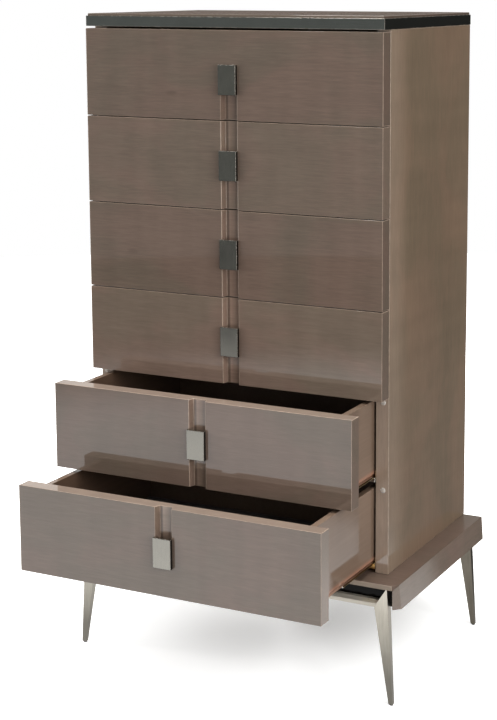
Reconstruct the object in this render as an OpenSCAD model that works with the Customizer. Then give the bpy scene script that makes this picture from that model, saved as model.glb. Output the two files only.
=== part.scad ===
// Tall chest with six full-width drawers on a projecting base and two splayed metal leg frames.
// Millimetres. +Z is up, the drawers open towards -Y, +X is to the right of someone facing the front.
// The origin is on the floor, in the middle of the space that the chest takes with its drawers as stored.

/* [Carcass] */
// Width over the side panels, which is also the width of the drawer fronts
carcass_w = 760; // [600:1:1000]
// Depth from the faces of the drawer fronts to the back of the carcass
carcass_d = 515; // [500:1:640]
// Thickness of a side panel
panel_t = 32; // [20:1:40]
// Thickness of the back panel
back_t = 8; // [5:0.5:12]
// How far the back panel is set in from the back edges of the side panels
back_inset = 4; // [0:0.5:8]

/* [Top] */
// Height of the metal band round the top
band_h = 24; // [12:0.5:40]
// Thickness of the metal band
band_t = 3; // [1.5:0.5:5]
// How far the band stands out past the side panels
band_proud = 1; // [0:0.25:1.25]
// How far the band lies behind the faces of the drawer fronts
band_set_back = 3; // [0:0.5:10]
// Shadow gap between the top drawer front and the band
band_gap = 5; // [3:0.5:10]
// Height of the wooden top above the band
top_lip = 5.5; // [1:0.5:12]

/* [Drawer fronts] */
// Height of the top drawer front
top_front_h = 202; // [150:1:260]
// Height of each other drawer front
front_h = 201; // [150:1:260]
// Thickness of a drawer front
front_t = 36; // [26:1:40]
// Gap between neighbouring drawer fronts
front_gap = 2; // [2:0.5:5]
// Gap between the lowest drawer front and the base
base_gap = 4; // [2:0.5:8]
// Width of the central groove at the face
groove_w = 42; // [34:1:44]
// Width of the groove's floor
groove_floor_w = 32; // [24:1:33]
// Depth of the groove
groove_d = 14; // [8:0.5:18]

/* [Handles] */
// Width of a handle plate
handle_w = 45; // [45:1:70]
// Height of a handle plate
handle_h = 68; // [60:1:90]
// Thickness of a handle plate
handle_t = 10; // [4:0.5:14]
// How far the top drawer's handle lies below the middle of its front
top_handle_drop = 10; // [0:1:30]
// How far the groove runs on behind a handle that closes its end
groove_hidden = 4; // [2:0.5:6]
// Diameter of the standoffs between a plate and the groove's floor
standoff_d = 8; // [6:0.5:10]
// Distance between a handle's two standoffs
standoff_pitch = 16; // [12:1:20]
// Diameter of the handle screws
screw_d = 4; // [3:0.5:5]
// Radial clearance of the handle screws in the drawer front
screw_clearance = 0.3; // [0.2:0.05:0.5]
// Diameter of a handle screw's head
screw_head_d = 9; // [7:0.5:12]
// Height of a handle screw's head
screw_head_h = 2.5; // [1.5:0.5:3]
// Gap at each joint of plate, standoff and screw, which keeps them separate pieces
handle_joint = 0.1; // [0.05:0.05:0.3]

/* [Drawer boxes] */
// Length of a drawer box behind its front
box_len = 450; // [400:1:452]
// Thickness of a drawer side
box_side_t = 15; // [10:1:18]
// Thickness of a drawer back
box_back_t = 15; // [10:1:18]
// Thickness of a drawer bottom
box_bottom_t = 8; // [5:0.5:12]
// Height of the drawer bottom's underside above the lower edge of the sides
box_bottom_rise = 13; // [8:0.5:16]
// Space between a drawer side and the carcass side panel
box_gap = 5; // [4:0.5:8]
// How far the drawer sides end below the top edge of the front
box_top_drop = 7; // [5:0.5:14]
// How far the drawer sides end above the lower edge of the front
box_bottom_lift = 24; // [21:0.5:30]

/* [Slides] */
// Length of the member that is fixed to the carcass
fixed_len = 450; // [400:1:455]
// Length of the intermediate member
middle_len = 440; // [390:1:445]
// Wall thickness of the slide members
slide_wall = 1.5; // [1:0.1:2]
// Width of the moving member under each drawer side
moving_w = 24; // [22:0.5:30]
// Height of the moving member
moving_h = 6; // [5:0.5:8]
// Height of the intermediate member
middle_h = 11.5; // [11:0.5:13]
// Thickness of the intermediate member's web
middle_web = 3; // [2:0.5:5]
// Running gap between slide members, above and below
slide_gap = 0.5; // [0.3:0.1:0.8]
// Running gap between slide members, at the sides
slide_side_gap = 2; // [1:0.25:3]
// Height of the fixed member's inner lip
lip_h = 8; // [5:0.5:8.5]
// Height of the fixed member's flange on the side panel
flange_h = 24; // [16:0.5:34]
// How far the fixed and intermediate members start behind the carcass's front edge
slide_start = 1; // [0.5:0.5:4]

/* [Bumper pads] */
// Diameter of a bumper pad
pad_d = 13; // [5:0.5:14]
// Thickness of a bumper pad
pad_t = 2.7; // [1.5:0.1:4]
// Gap between a pad and a closed drawer front
pad_gap = 0.3; // [0.2:0.05:0.5]
// Distance from the carcass's side to a pad's centre
pad_in = 14; // [12:0.5:18]
// Distance from a front's upper edge down to its pads' centres
pad_down = 9; // [7:0.5:16]

/* [Base] */
// Height of the base platform
base_h = 57; // [45:1:90]
// Thickness of the base's top board and side aprons
base_wall = 12; // [10:0.5:16]
// How far the base stands out past the carcass on each side
base_out = 48; // [40:1:70]
// How far the base stands out in front of the drawer fronts
base_front = 22; // [20:1:40]
// Size of the chamfers on the base's front corners
base_chamfer = 13; // [6:0.5:20]
// How much further out the side aprons stand at their lower edge
base_flare = 4; // [0:0.5:8]
// Thickness of the recessed front and rear aprons
apron_t = 16; // [10:0.5:20]

/* [Leg frames] */
// Height of the base's underside above the floor
leg_clear = 226; // [120:1:300]
// How far a leg frame lies behind the base's front or back edge
frame_in = 4; // [1:0.5:10]
// Depth of a rail, and of a leg at its top
frame_d = 18; // [14:0.5:24]
// Height of a leg frame's rail
rail_h = 16; // [10:0.5:24]
// Size of the chamfer along a rail's upper outer edge
rail_chamfer = 7; // [2:0.5:8]
// Width of a leg where it meets the rail
knee_w = 34; // [24:1:44]
// Width of a leg at its upper tip under the base
tip_w = 2; // [1:0.5:8]
// Width of a leg at the foot
foot_w = 11; // [8:0.5:16]
// Depth of a leg at the foot
foot_d = 11; // [8:0.5:14]
// Distance from the base's side to a leg's outer edge at its upper tip
tip_in = 26; // [20:1:40]
// Distance from the base's side to a leg's outer edge at the foot
foot_in = 10.5; // [2:0.5:24]
// Diameter of the glide under each foot
glide_d = 9; // [6:0.5:11]
// Thickness of the glide
glide_t = 3; // [2:0.5:6]

/* [Drawer travel as stored] */
// How far drawer 1, the top one, is pulled out
open_1 = 0; // [0:1:430]
// How far drawer 2 is pulled out
open_2 = 0; // [0:1:430]
// How far drawer 3 is pulled out
open_3 = 0; // [0:1:430]
// How far drawer 4 is pulled out
open_4 = 0; // [0:1:430]
// How far drawer 5 is pulled out
open_5 = 157; // [0:1:430]
// How far drawer 6, the lowest one, is pulled out
open_6 = 305; // [0:1:430]

/* [Hidden] */
drawers = [1, 2, 3, 4, 5, 6];
drawer_parts = ["front", "sides", "back", "bottom", "handle", "slides", "middle_slides"];
carcass_nodes = [
    "side_panel_left", "side_panel_right", "top_panel", "top_band", "back_panel", "cabinet_slides",
    "bumper_pads", "base_board", "base_side_left", "base_side_right", "base_front_apron",
    "base_rear_apron", "leg_front_left", "leg_front_right", "leg_rear_left", "leg_rear_right",
    "leg_rails", "leg_glides"
];

// The lowest drawer, counted from the top
lowest = len(drawers);
// Facets of round parts
round_fn = 48;
// Extra length of a cut past the face that it opens
cut_over = 1;

wood_dark = [0.45, 0.39, 0.35];
wood_light = [0.55, 0.50, 0.46];
box_wood = [0.42, 0.34, 0.29];
box_lining = [0.10, 0.08, 0.07];
nickel = [0.62, 0.60, 0.56];
band_metal = [0.30, 0.31, 0.30];
zinc = [0.70, 0.71, 0.72];
gloss_black = [0.05, 0.05, 0.05];
clear_pad = [0.90, 0.90, 0.88];

// Heights, from the floor up
base_z = leg_clear + base_h;
slab_under_z = base_z - base_wall;
lower_front_z = base_z + base_gap;
function front_height(i) = i == 1 ? top_front_h : front_h;
function front_z(i) = lower_front_z + (lowest - i) * (front_h + front_gap);
function front_top_z(i) = front_z(i) + front_height(i);
function box_z(i) = front_z(i) + box_bottom_lift;
function box_top_z(i) = front_top_z(i) - box_top_drop;
band_z = front_top_z(1) + band_gap;
top_z = band_z + band_h + top_lip;

// Widths, as half widths from the middle
half_w = carcass_w / 2;
panel_inner_x = half_w - panel_t;
box_outer_x = panel_inner_x - box_gap;
box_inner_x = box_outer_x - box_side_t;
band_x = half_w + band_proud;
base_x = half_w + base_out;
apron_inner_x = base_x - base_wall;

// Depths, with 0 at the faces of the closed drawer fronts
carcass_y = front_t + pad_t + pad_gap;
back_y = carcass_d - back_inset - back_t;
box_back_y = front_t + box_len;
base_y = -base_front;
frame_y = base_y + frame_in;

// Drawer travel, and the middle of the space that the stored chest takes
open = [open_1, open_2, open_3, open_4, open_5, open_6];
function opening(i) = open[i - 1];
front_most_y = min(base_y, -max(open) - handle_t);
middle_y = (front_most_y + carcass_d) / 2;

// Handles
top_handle_z = front_z(1) + top_front_h / 2 - top_handle_drop;
function handle_z(i) = i == 1 ? top_handle_z : front_z(i) + front_h / 2;
// The lowest groove runs up from its handle, and the top one runs down
function groove_from(i) = i == lowest ? handle_z(i) - handle_h / 2 + groove_hidden : front_z(i) - cut_over;
function groove_to(i) = i == 1 ? handle_z(i) + handle_h / 2 - groove_hidden : front_top_z(i) + cut_over;
// The standoffs keep to the closed end of the groove, so that fingers reach in behind the other end
closed_end = handle_h / 2 - groove_hidden - standoff_d;
function standoff_side(i) = i == lowest ? -1 : 1;
function standoff_z(i) =
    [for (k = [0, 1]) handle_z(i) + standoff_side(i) * (closed_end - k * standoff_pitch)];

// Leg outline, as half widths and heights
leg_tip_x = base_x - tip_in;
leg_foot_x = base_x - foot_in;
leg_lean = (leg_foot_x - leg_tip_x) / (slab_under_z - glide_t);
knee_outer_x = leg_tip_x + leg_lean * (slab_under_z - leg_clear);
knee_x = knee_outer_x - knee_w;
rail_top_z = leg_clear + rail_h;
shoulder = (leg_tip_x - tip_w - knee_x) / (slab_under_z - leg_clear);
rail_top_x = knee_x + shoulder * rail_h;

// Places every piece in the frame whose origin is on the floor
module place() {
    translate([0, -middle_y, 0]) children();
}

// Places a piece of drawer i, pulled out by its own opening or by a share of it
module place_drawer(i, share = 1) {
    translate([0, -middle_y - share * opening(i), 0]) children();
}

// A board from one corner to the opposite one
module board(low, high) {
    translate(low) cube(high - low);
}

// The piece on the right, and its mirror image on the left
module both_sides() {
    children();
    mirror([1, 0, 0]) children();
}

// The front leg frame's pieces, and their mirror image at the back of the base
module both_ends() {
    children();
    at_rear() children();
}

module at_rear() {
    translate([0, base_y + carcass_d, 0]) mirror([0, 1, 0]) children();
}

// A profile in X and Z, drawn from one depth to another
module profile_along_y(from_y, to_y) {
    translate([0, to_y, 0]) rotate([90, 0, 0]) linear_extrude(height = to_y - from_y) children();
}

// A profile in Y and Z, drawn from one place along the width to another
module profile_along_x(from_x, to_x) {
    translate([from_x, 0, 0]) rotate([90, 0, 90]) linear_extrude(height = to_x - from_x) children();
}

// Carcass

module side_panel() {
    board([panel_inner_x, carcass_y, base_z], [half_w, carcass_d, band_z]);
}

module side_panel_left() {
    color(wood_dark) place() mirror([1, 0, 0]) side_panel();
}

module side_panel_right() {
    color(wood_dark) place() side_panel();
}

module top_panel() {
    inner_x = band_x - band_t;
    color(wood_dark) place()
        board([-inner_x, band_set_back + band_t, band_z], [inner_x, carcass_d, top_z]);
}

module top_band() {
    inner_x = band_x - band_t;
    inner_y = band_set_back + band_t;
    front_strip = [
        [-band_x, band_set_back], [band_x, band_set_back], [inner_x, inner_y], [-inner_x, inner_y]
    ];
    side_strip = [
        [band_x, band_set_back], [band_x, carcass_d], [inner_x, carcass_d], [inner_x, inner_y]
    ];
    color(band_metal) place() translate([0, 0, band_z]) {
        linear_extrude(height = band_h) polygon(front_strip);
        both_sides() linear_extrude(height = band_h) polygon(side_strip);
    }
}

module back_panel() {
    color(box_wood) place()
        board([-panel_inner_x, back_y, base_z], [panel_inner_x, back_y + back_t, band_z]);
}

module bumper_pads() {
    color(clear_pad) place() both_sides()
        for (i = drawers)
            translate([half_w - pad_in, carcass_y, front_top_z(i) - pad_down])
                rotate([90, 0, 0]) cylinder(d = pad_d, h = pad_t, $fn = round_fn);
}

// Slides, drawn for the right side with X from the drawer side's outer face and Z from its lower edge

middle_w = moving_w - 2 * slide_wall - 2 * slide_side_gap;
middle_top = -slide_wall - slide_gap;
fixed_floor = middle_top - middle_h - slide_gap;
lip_x = -moving_w - slide_gap;

module moving_member_profile() {
    polygon([
        [-moving_w, 0], [-moving_w, -moving_h], [-moving_w + slide_wall, -moving_h],
        [-moving_w + slide_wall, -slide_wall], [-slide_wall, -slide_wall], [-slide_wall, -moving_h],
        [0, -moving_h], [0, 0]
    ]);
}

// An I section: two flanges and a web
module middle_member_profile() {
    middle_x = -moving_w / 2;
    translate([middle_x - middle_w / 2, middle_top - slide_wall]) square([middle_w, slide_wall]);
    translate([middle_x - middle_web / 2, middle_top - middle_h]) square([middle_web, middle_h]);
    translate([middle_x - middle_w / 2, middle_top - middle_h]) square([middle_w, slide_wall]);
}

// A tray with a low inner lip and a flange on the side panel
module fixed_member_profile() {
    under_z = fixed_floor - slide_wall;
    polygon([
        [lip_x - slide_wall, under_z], [box_gap, under_z], [box_gap, under_z + flange_h],
        [box_gap - slide_wall, under_z + flange_h], [box_gap - slide_wall, fixed_floor],
        [lip_x, fixed_floor], [lip_x, under_z + lip_h], [lip_x - slide_wall, under_z + lip_h]
    ]);
}

module cabinet_slides() {
    from_y = carcass_y + slide_start;
    color(zinc) place()
        for (i = drawers) both_sides()
            translate([box_outer_x, 0, box_z(i)])
                profile_along_y(from_y, from_y + fixed_len) fixed_member_profile();
}

// Each intermediate member travels half as far as its drawer
module middle_slides(i) {
    from_y = carcass_y + slide_start;
    color(zinc) place_drawer(i, 0.5) both_sides()
        translate([box_outer_x, 0, box_z(i)])
            profile_along_y(from_y, from_y + middle_len) middle_member_profile();
}

module drawer_slides(i) {
    color(zinc) place_drawer(i) both_sides()
        translate([box_outer_x, 0, box_z(i)])
            profile_along_y(carcass_y, box_back_y) moving_member_profile();
}

// Drawers

// The central groove's section, wide at the face and narrower at its floor
module groove(i) {
    face_w = groove_w + (groove_w - groove_floor_w) / groove_d * cut_over;
    translate([0, 0, groove_from(i)])
        linear_extrude(height = groove_to(i) - groove_from(i))
            polygon([
                [-face_w / 2, -cut_over], [face_w / 2, -cut_over],
                [groove_floor_w / 2, groove_d], [-groove_floor_w / 2, groove_d]
            ]);
}

// A round bar along Y from one depth to another, at height z in the middle
module bar_along_y(diameter, z, from_y, to_y) {
    translate([0, to_y, z]) rotate([90, 0, 0]) cylinder(d = diameter, h = to_y - from_y, $fn = round_fn);
}

module drawer_front(i) {
    hole_d = screw_d + 2 * screw_clearance;
    color(wood_light) place_drawer(i) difference() {
        board([-half_w, 0, front_z(i)], [half_w, front_t, front_top_z(i)]);
        groove(i);
        for (z = standoff_z(i)) bar_along_y(hole_d, z, groove_d - cut_over, front_t + cut_over);
    }
}

module drawer_sides(i) {
    color(box_wood) place_drawer(i) both_sides()
        board([box_inner_x, front_t, box_z(i)], [box_outer_x, box_back_y, box_top_z(i)]);
}

module drawer_back(i) {
    color(box_wood) place_drawer(i)
        board([-box_inner_x, box_back_y - box_back_t, box_z(i)], [box_inner_x, box_back_y, box_top_z(i)]);
}

module drawer_bottom(i) {
    under_z = box_z(i) + box_bottom_rise;
    to_y = box_back_y - box_back_t;
    color(box_lining) place_drawer(i)
        board([-box_inner_x, front_t, under_z], [box_inner_x, to_y, under_z + box_bottom_t]);
}

// The plate lies on the face and spans the groove, on two standoffs that screws hold from inside
module drawer_handle(i) {
    low_z = handle_z(i) - handle_h / 2;
    color(nickel) place_drawer(i) {
        board([-handle_w / 2, -handle_t, low_z], [handle_w / 2, 0, low_z + handle_h]);
        for (z = standoff_z(i)) {
            bar_along_y(standoff_d, z, handle_joint, groove_d);
            bar_along_y(screw_d, z, groove_d + handle_joint, front_t);
            bar_along_y(screw_head_d, z, front_t, front_t + screw_head_h);
        }
    }
}

// Base

// The base seen from above, with its front corners cut off
module base_plan() {
    outer_x = base_x + base_flare;
    corner_x = base_x - base_chamfer;
    cut_x = base_chamfer + base_flare;
    polygon([
        [-corner_x, base_y], [corner_x, base_y], [corner_x + cut_x, base_y + cut_x],
        [outer_x, carcass_d], [-outer_x, carcass_d], [-corner_x - cut_x, base_y + cut_x]
    ]);
}

// The top board, mitred to the side aprons
module base_board() {
    color(wood_dark) place() intersection() {
        profile_along_y(base_y, carcass_d)
            polygon([
                [-base_x, base_z], [base_x, base_z],
                [apron_inner_x, slab_under_z], [-apron_inner_x, slab_under_z]
            ]);
        linear_extrude(height = base_z) base_plan();
    }
}

module base_side() {
    intersection() {
        profile_along_y(base_y, carcass_d)
            polygon([
                [base_x, base_z], [apron_inner_x, slab_under_z], [apron_inner_x, leg_clear],
                [base_x + base_flare, leg_clear]
            ]);
        linear_extrude(height = base_z) base_plan();
    }
}

module base_side_left() {
    color(wood_dark) place() mirror([1, 0, 0]) base_side();
}

module base_side_right() {
    color(wood_dark) place() base_side();
}

// A recessed board behind a leg frame
module recessed_apron() {
    from_y = frame_y + frame_d;
    board([-apron_inner_x, from_y, leg_clear], [apron_inner_x, from_y + apron_t, slab_under_z]);
}

module base_front_apron() {
    color(gloss_black) place() recessed_apron();
}

module base_rear_apron() {
    color(gloss_black) place() at_rear() recessed_apron();
}

// Leg frames

// A leg tapers in both directions: its outline from the front and from the side
module leg() {
    inner_y = frame_y + frame_d;
    intersection() {
        profile_along_y(frame_y, inner_y)
            polygon([
                [knee_x, leg_clear], [leg_foot_x - foot_w, glide_t], [leg_foot_x, glide_t],
                [leg_tip_x, slab_under_z], [leg_tip_x - tip_w, slab_under_z]
            ]);
        profile_along_x(knee_x - cut_over, base_x)
            polygon([
                [frame_y, glide_t], [frame_y + foot_d, glide_t], [inner_y, leg_clear],
                [inner_y, slab_under_z], [frame_y, slab_under_z]
            ]);
    }
}

module leg_front_left() {
    color(nickel) place() mirror([1, 0, 0]) leg();
}

module leg_front_right() {
    color(nickel) place() leg();
}

module leg_rear_left() {
    color(nickel) place() at_rear() mirror([1, 0, 0]) leg();
}

module leg_rear_right() {
    color(nickel) place() at_rear() leg();
}

// Each rail is mitred to its two legs
module leg_rails() {
    inner_y = frame_y + frame_d;
    color(nickel) place() both_ends() intersection() {
        profile_along_y(frame_y, inner_y)
            polygon([
                [-knee_x, leg_clear], [knee_x, leg_clear], [rail_top_x, rail_top_z], [-rail_top_x, rail_top_z]
            ]);
        profile_along_x(-base_x, base_x)
            polygon([
                [frame_y, leg_clear], [inner_y, leg_clear], [inner_y, rail_top_z],
                [frame_y + rail_chamfer, rail_top_z], [frame_y, rail_top_z - rail_chamfer]
            ]);
    }
}

module leg_glides() {
    color(gloss_black) place() both_ends() both_sides()
        translate([leg_foot_x - foot_w / 2, frame_y + foot_d / 2, 0])
            cylinder(d = glide_d, h = glide_t, $fn = round_fn);
}

side_panel_left();
side_panel_right();
top_panel();
top_band();
back_panel();
cabinet_slides();
bumper_pads();
base_board();
base_side_left();
base_side_right();
base_front_apron();
base_rear_apron();
leg_front_left();
leg_front_right();
leg_rear_left();
leg_rear_right();
leg_rails();
leg_glides();

for (i = drawers) {
    drawer_front(i);
    drawer_sides(i);
    drawer_back(i);
    drawer_bottom(i);
    drawer_handle(i);
    drawer_slides(i);
    middle_slides(i);
}
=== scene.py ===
"""Look of a tall six-drawer chest on splayed metal legs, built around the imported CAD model.

Lengths are metres in the frame of the CAD model: +Z is up, the drawers open towards -Y, and the
origin is on the floor. The CAD nodes keep their shapes. This script gives them rounded edges and
materials, puts rounder pieces in place of the handles, bumper pads and legs, adds small fittings
that the solids leave out, and sets the stage.
"""
import math

import bmesh
import bpy
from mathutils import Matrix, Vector


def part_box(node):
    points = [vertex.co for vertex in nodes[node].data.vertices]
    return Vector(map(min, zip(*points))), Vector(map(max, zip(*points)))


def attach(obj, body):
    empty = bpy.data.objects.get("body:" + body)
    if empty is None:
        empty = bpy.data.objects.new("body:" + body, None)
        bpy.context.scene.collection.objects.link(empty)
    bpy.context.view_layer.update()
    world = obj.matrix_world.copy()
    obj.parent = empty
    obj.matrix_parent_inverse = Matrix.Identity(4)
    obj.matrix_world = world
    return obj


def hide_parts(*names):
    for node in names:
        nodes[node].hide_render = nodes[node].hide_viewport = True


MM = 0.001
DRAWERS = (1, 2, 3, 4, 5, 6)
BOTH_SIDES = (-1, 1)

# Camera at the photograph's viewing angle
CAMERA_PLACE = Vector((1.7930, -3.2916, 1.6064))
CAMERA_YAW = 0.4496
CAMERA_PITCH = 0.1473
CAMERA_SENSOR = 36.0
CAMERA_LENS = 81.3
CAMERA_SHIFT = (-0.1132, -0.1875)

# Sizes of the edge roundings
FRONT_EDGE = 1.1 * MM
WOOD_EDGE = 1.6 * MM
BOX_EDGE = 1.0 * MM
METAL_EDGE = 0.8 * MM
SHEET_EDGE = 0.3 * MM
HANDLE_EDGE = 0.9 * MM
CAP_EDGE = 0.9 * MM
TIP_EDGE = 0.8 * MM
LEG_EDGE = 4.6 * MM

# Edges sharper than this are rounded
ROUNDED_ANGLE = math.radians(25)
# Faces of a new piece that meet at more than this keep a crisp edge
CRISP_ANGLE = math.radians(40)
# Faces of a leg that meet at less than this are joined into one
FLAT_ANGLE = math.radians(1)
# Edges of a leg longer than this are its long corners
LEG_LONG_EDGE = 0.15
# Points nearer than this are joined into one
WELD_GAP = 0.01 * MM

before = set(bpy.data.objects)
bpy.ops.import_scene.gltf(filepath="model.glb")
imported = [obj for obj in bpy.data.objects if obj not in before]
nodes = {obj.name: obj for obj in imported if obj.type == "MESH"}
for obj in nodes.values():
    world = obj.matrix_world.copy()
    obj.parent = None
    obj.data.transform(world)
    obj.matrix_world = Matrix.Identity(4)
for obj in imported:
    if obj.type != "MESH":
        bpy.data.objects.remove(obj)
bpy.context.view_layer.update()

# Places taken from the CAD model
SIDE_FRONT_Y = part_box("side_panel_right")[0].y
SIDE_OUTER_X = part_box("side_panel_right")[1].x
BOX_INNER_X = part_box("drawer_6_bottom")[1].x
BOX_OUTER_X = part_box("drawer_6_sides")[1].x
LOWEST_BOX_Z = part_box("drawer_6_sides")[0].z
DRAWER_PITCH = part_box("drawer_5_sides")[0].z - LOWEST_BOX_Z
LEG_TOP_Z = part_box("leg_front_right")[1].z


# Helpers for shader graphs

# Sockets of a Mix node that mixes colours
MIX_FACTOR = 0
MIX_FIRST = 6
MIX_SECOND = 7
MIX_RESULT = 2


class Graph:
    """Nodes of one material or world, added and linked by short calls."""

    def __init__(self, tree):
        self.tree = tree

    def add(self, kind, values=None, **settings):
        """A node with its settings, and with its inputs set or linked."""
        node = self.tree.nodes.new(kind)
        for name, value in settings.items():
            setattr(node, name, value)
        for key, value in (values or {}).items():
            self.feed(node.inputs[key], value)
        return node

    def feed(self, socket, value):
        """Links a socket to another socket, or sets it to a plain value."""
        if isinstance(value, bpy.types.NodeSocket):
            self.tree.links.new(value, socket)
        else:
            socket.default_value = value

    def math(self, operation, *values):
        return self.add("ShaderNodeMath", dict(enumerate(values)), operation=operation).outputs[0]

    def times(self, first, *others):
        """The product of several values."""
        product = first
        for other in others:
            product = self.math("MULTIPLY", product, other)
        return product

    def size(self, value):
        """A value without its sign."""
        return self.math("ABSOLUTE", value)

    def less(self, value, limit):
        """1 where a value is below a limit, else 0."""
        return self.math("LESS_THAN", value, limit)

    def around(self, value, middle, reach):
        """1 where a value is within reach of middle, else 0."""
        return self.math("COMPARE", value, middle, reach)

    def inverse(self, mask):
        """1 where a mask is 0, and 0 where it is 1."""
        return self.math("SUBTRACT", 1.0, mask)

    def step(self, value, low, high):
        """A smooth step from 0 at low to 1 at high."""
        node = self.add("ShaderNodeMapRange", {0: value, 1: low, 2: high, 3: 0.0, 4: 1.0})
        node.interpolation_type = "SMOOTHSTEP"
        return node.outputs[0]

    def spread(self, value, low, high, to_low, to_high):
        """Maps low..high onto to_low..to_high, clamped."""
        node = self.add("ShaderNodeMapRange", {0: value, 1: low, 2: high, 3: to_low, 4: to_high})
        return node.outputs[0]

    def swing(self, value, low, high, amount):
        """Maps low..high onto a factor from 1 - amount to 1 + amount, clamped."""
        return self.spread(value, low, high, 1 - amount, 1 + amount)

    def between(self, mask, off, on):
        """The number off where a mask is 0, and on where it is 1."""
        return self.spread(mask, 0, 1, off, on)

    def seen(self, rays):
        """1 for rays that come from the camera or pass through clear plastic, else 0."""
        return self.math("MAXIMUM", rays.outputs["Is Camera Ray"], rays.outputs["Is Transmission Ray"])

    def split(self, vector):
        """X, Y and Z of a vector."""
        return self.add("ShaderNodeSeparateXYZ", {0: vector}).outputs

    def length(self, vector):
        return self.add("ShaderNodeVectorMath", {0: vector}, operation="LENGTH").outputs["Value"]

    def place(self, offset=(0, 0, 0), scale=(1, 1, 1)):
        """The object's own coordinates in metres, scaled and then shifted."""
        coordinates = self.add("ShaderNodeTexCoord").outputs["Object"]
        values = {"Vector": coordinates, "Location": offset, "Scale": scale}
        return self.add("ShaderNodeMapping", values).outputs[0]

    def facing(self):
        """X, Y and Z of the direction that a face looks in, in the object's own frame."""
        return self.split(self.add("ShaderNodeTexCoord").outputs["Normal"])

    def noise(self, offset, scale, detail=2.0, roughness=0.5, distortion=0.0):
        """Noise in the object's own coordinates. scale is its waves to the metre on each axis."""
        values = {
            "Vector": self.place(offset, scale),
            "Scale": 1.0,
            "Detail": detail,
            "Roughness": roughness,
            "Distortion": distortion,
        }
        return self.add("ShaderNodeTexNoise", values).outputs[0]

    def mix(self, factor, first, second, blend="MIX"):
        """Two colours mixed: first where the factor is 0, and second where it is 1."""
        values = {MIX_FACTOR: factor, MIX_FIRST: first, MIX_SECOND: second}
        return self.add("ShaderNodeMix", values, data_type="RGBA", blend_type=blend).outputs[MIX_RESULT]

    def shade(self, colour, factor):
        """A colour times a grey factor."""
        grey = self.add("ShaderNodeCombineColor", {0: factor, 1: factor, 2: factor}).outputs[0]
        return self.mix(1.0, colour, grey, "MULTIPLY")

    def bump(self, height, strength, distance):
        values = {"Height": height, "Strength": strength, "Distance": distance}
        return self.add("ShaderNodeBump", values).outputs[0]


def linear(red, green, blue):
    """Scene-linear colour of an 8-bit screen colour."""
    def channel(value):
        share = value / 255
        return share / 12.92 if share <= 0.04045 else ((share + 0.055) / 1.055) ** 2.4

    return (channel(red), channel(green), channel(blue), 1.0)


def new_surface(name, **values):
    """A material with one Principled shader, and its graph. Values are its sockets, such as coat_ior."""
    material = bpy.data.materials.new(name)
    material.use_nodes = True
    graph = Graph(material.node_tree)
    shader = material.node_tree.nodes["Principled BSDF"]
    for key, value in values.items():
        shader.inputs[key.replace("_", " ").title().replace("Ior", "IOR")].default_value = value
    return material, graph, shader


# Veneer: colours, lacquer and figure

VENEER_WARM = linear(114, 95, 84)
VENEER_COOL = linear(109, 95, 83)
UPRIGHT_WARM = linear(118, 98, 81)
UPRIGHT_COOL = linear(112, 96, 79)
LIPPING = linear(136, 119, 105)
# Top faces of the fronts: a paler painted light, as if lit from above
TOP_PAINTED_LIGHT = linear(126, 110, 98)
# Paler colours of the rounded edges: painted highlights
VENEER_EDGE_HIGHLIGHT = linear(162, 142, 126)
UPRIGHT_EDGE_HIGHLIGHT = linear(156, 138, 121)
LACQUER = {"coat_roughness": 0.03, "coat_ior": 1.8, "specular_ior_level": 0.1}

# Depth behind a board's edge at which the edge's tint, or its painted light or shade, is full, and at which
# it ends
SKIN_FULL = 0.2 * MM
SKIN_END = 0.6 * MM

# Noise layers: scale across the grain, scale along it, detail, roughness and distortion
PORES = (420.0, 26.0, 4.0, 0.65, 0.0)
FINE_GRAIN = (150.0, 11.0, 3.0, 0.6, 0.0)
STREAKS = (34.0, 2.6, 3.0, 0.55, 0.0)
RIPPLES = (3.0, 24.0, 1.0, 0.5, 0.0)
CLOUDS = (5.5, 3.4, 4.0, 0.6, 0.6)

# How far each layer moves the brightness
PORE_SWING = 0.1
FINE_SWING = 0.06
STREAK_SWING = 0.04
RIPPLE_SWING = 0.05
CLOUD_SWING = -0.06
# Ranges of noise that do so, and the range of the clouds over which the tint goes from warm to cool
PORE_RANGE = (0.28, 0.72)
LAYER_RANGE = (0.25, 0.75)
WARM_TO_COOL = (0.38, 0.62)
# Strength and height of the bump that the pores make
PORE_BUMP = 0.12
PORE_HEIGHT = 0.15 * MM

# Side panels: distances behind the front edge over which a painted light and reflection, lighter and cooler,
# sets in, and Y at the rear over which they get a little lighter
UPRIGHT_FRONT_END = 0.12
UPRIGHT_FRONT_FULL = 0.02
UPRIGHT_FRONT_PAINTED_LIGHT = 1.45
UPRIGHT_FRONT_PAINTED_COOL = 0.6
UPRIGHT_REAR_Y = (0.25, 0.44)
UPRIGHT_REAR_SHARE = 1.14

# Where the figure lies on each side, and how far it moves on from one drawer front to the next
SIDE_OFFSETS = {"left": (8.2, 3.1, 0.4), "right": (2.7, 7.9, 5.3)}
FRONT_OFFSET = (1.37, 0.6, 2.11)

# Drawer fronts: painted light and shade on each front, painted shade on its ends, and the X and Z of dark
# eyes in its figure
FRONT_PAINTED_LIGHT = {1: 0.97, 2: 1.06, 3: 1.0, 4: 1.22, 5: 1.01, 6: 1.13}
END_PAINTED_SHADE = {1: 0.8, 2: 0.95, 3: 0.75, 4: 0.7, 5: 0.95, 6: 1.0}
FRONT_EYES = {1: ((-0.15, 1.36),), 3: ((-0.26, 0.985),)}
# An eye's half width and half height, its fade from core to rim, and the brightness of its core
EYE_HALF_WIDTH = 22 * MM
EYE_HALF_HEIGHT = 9 * MM
EYE_FADE = (0.2, 1.0)
EYE_SHARE = 0.82

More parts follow.
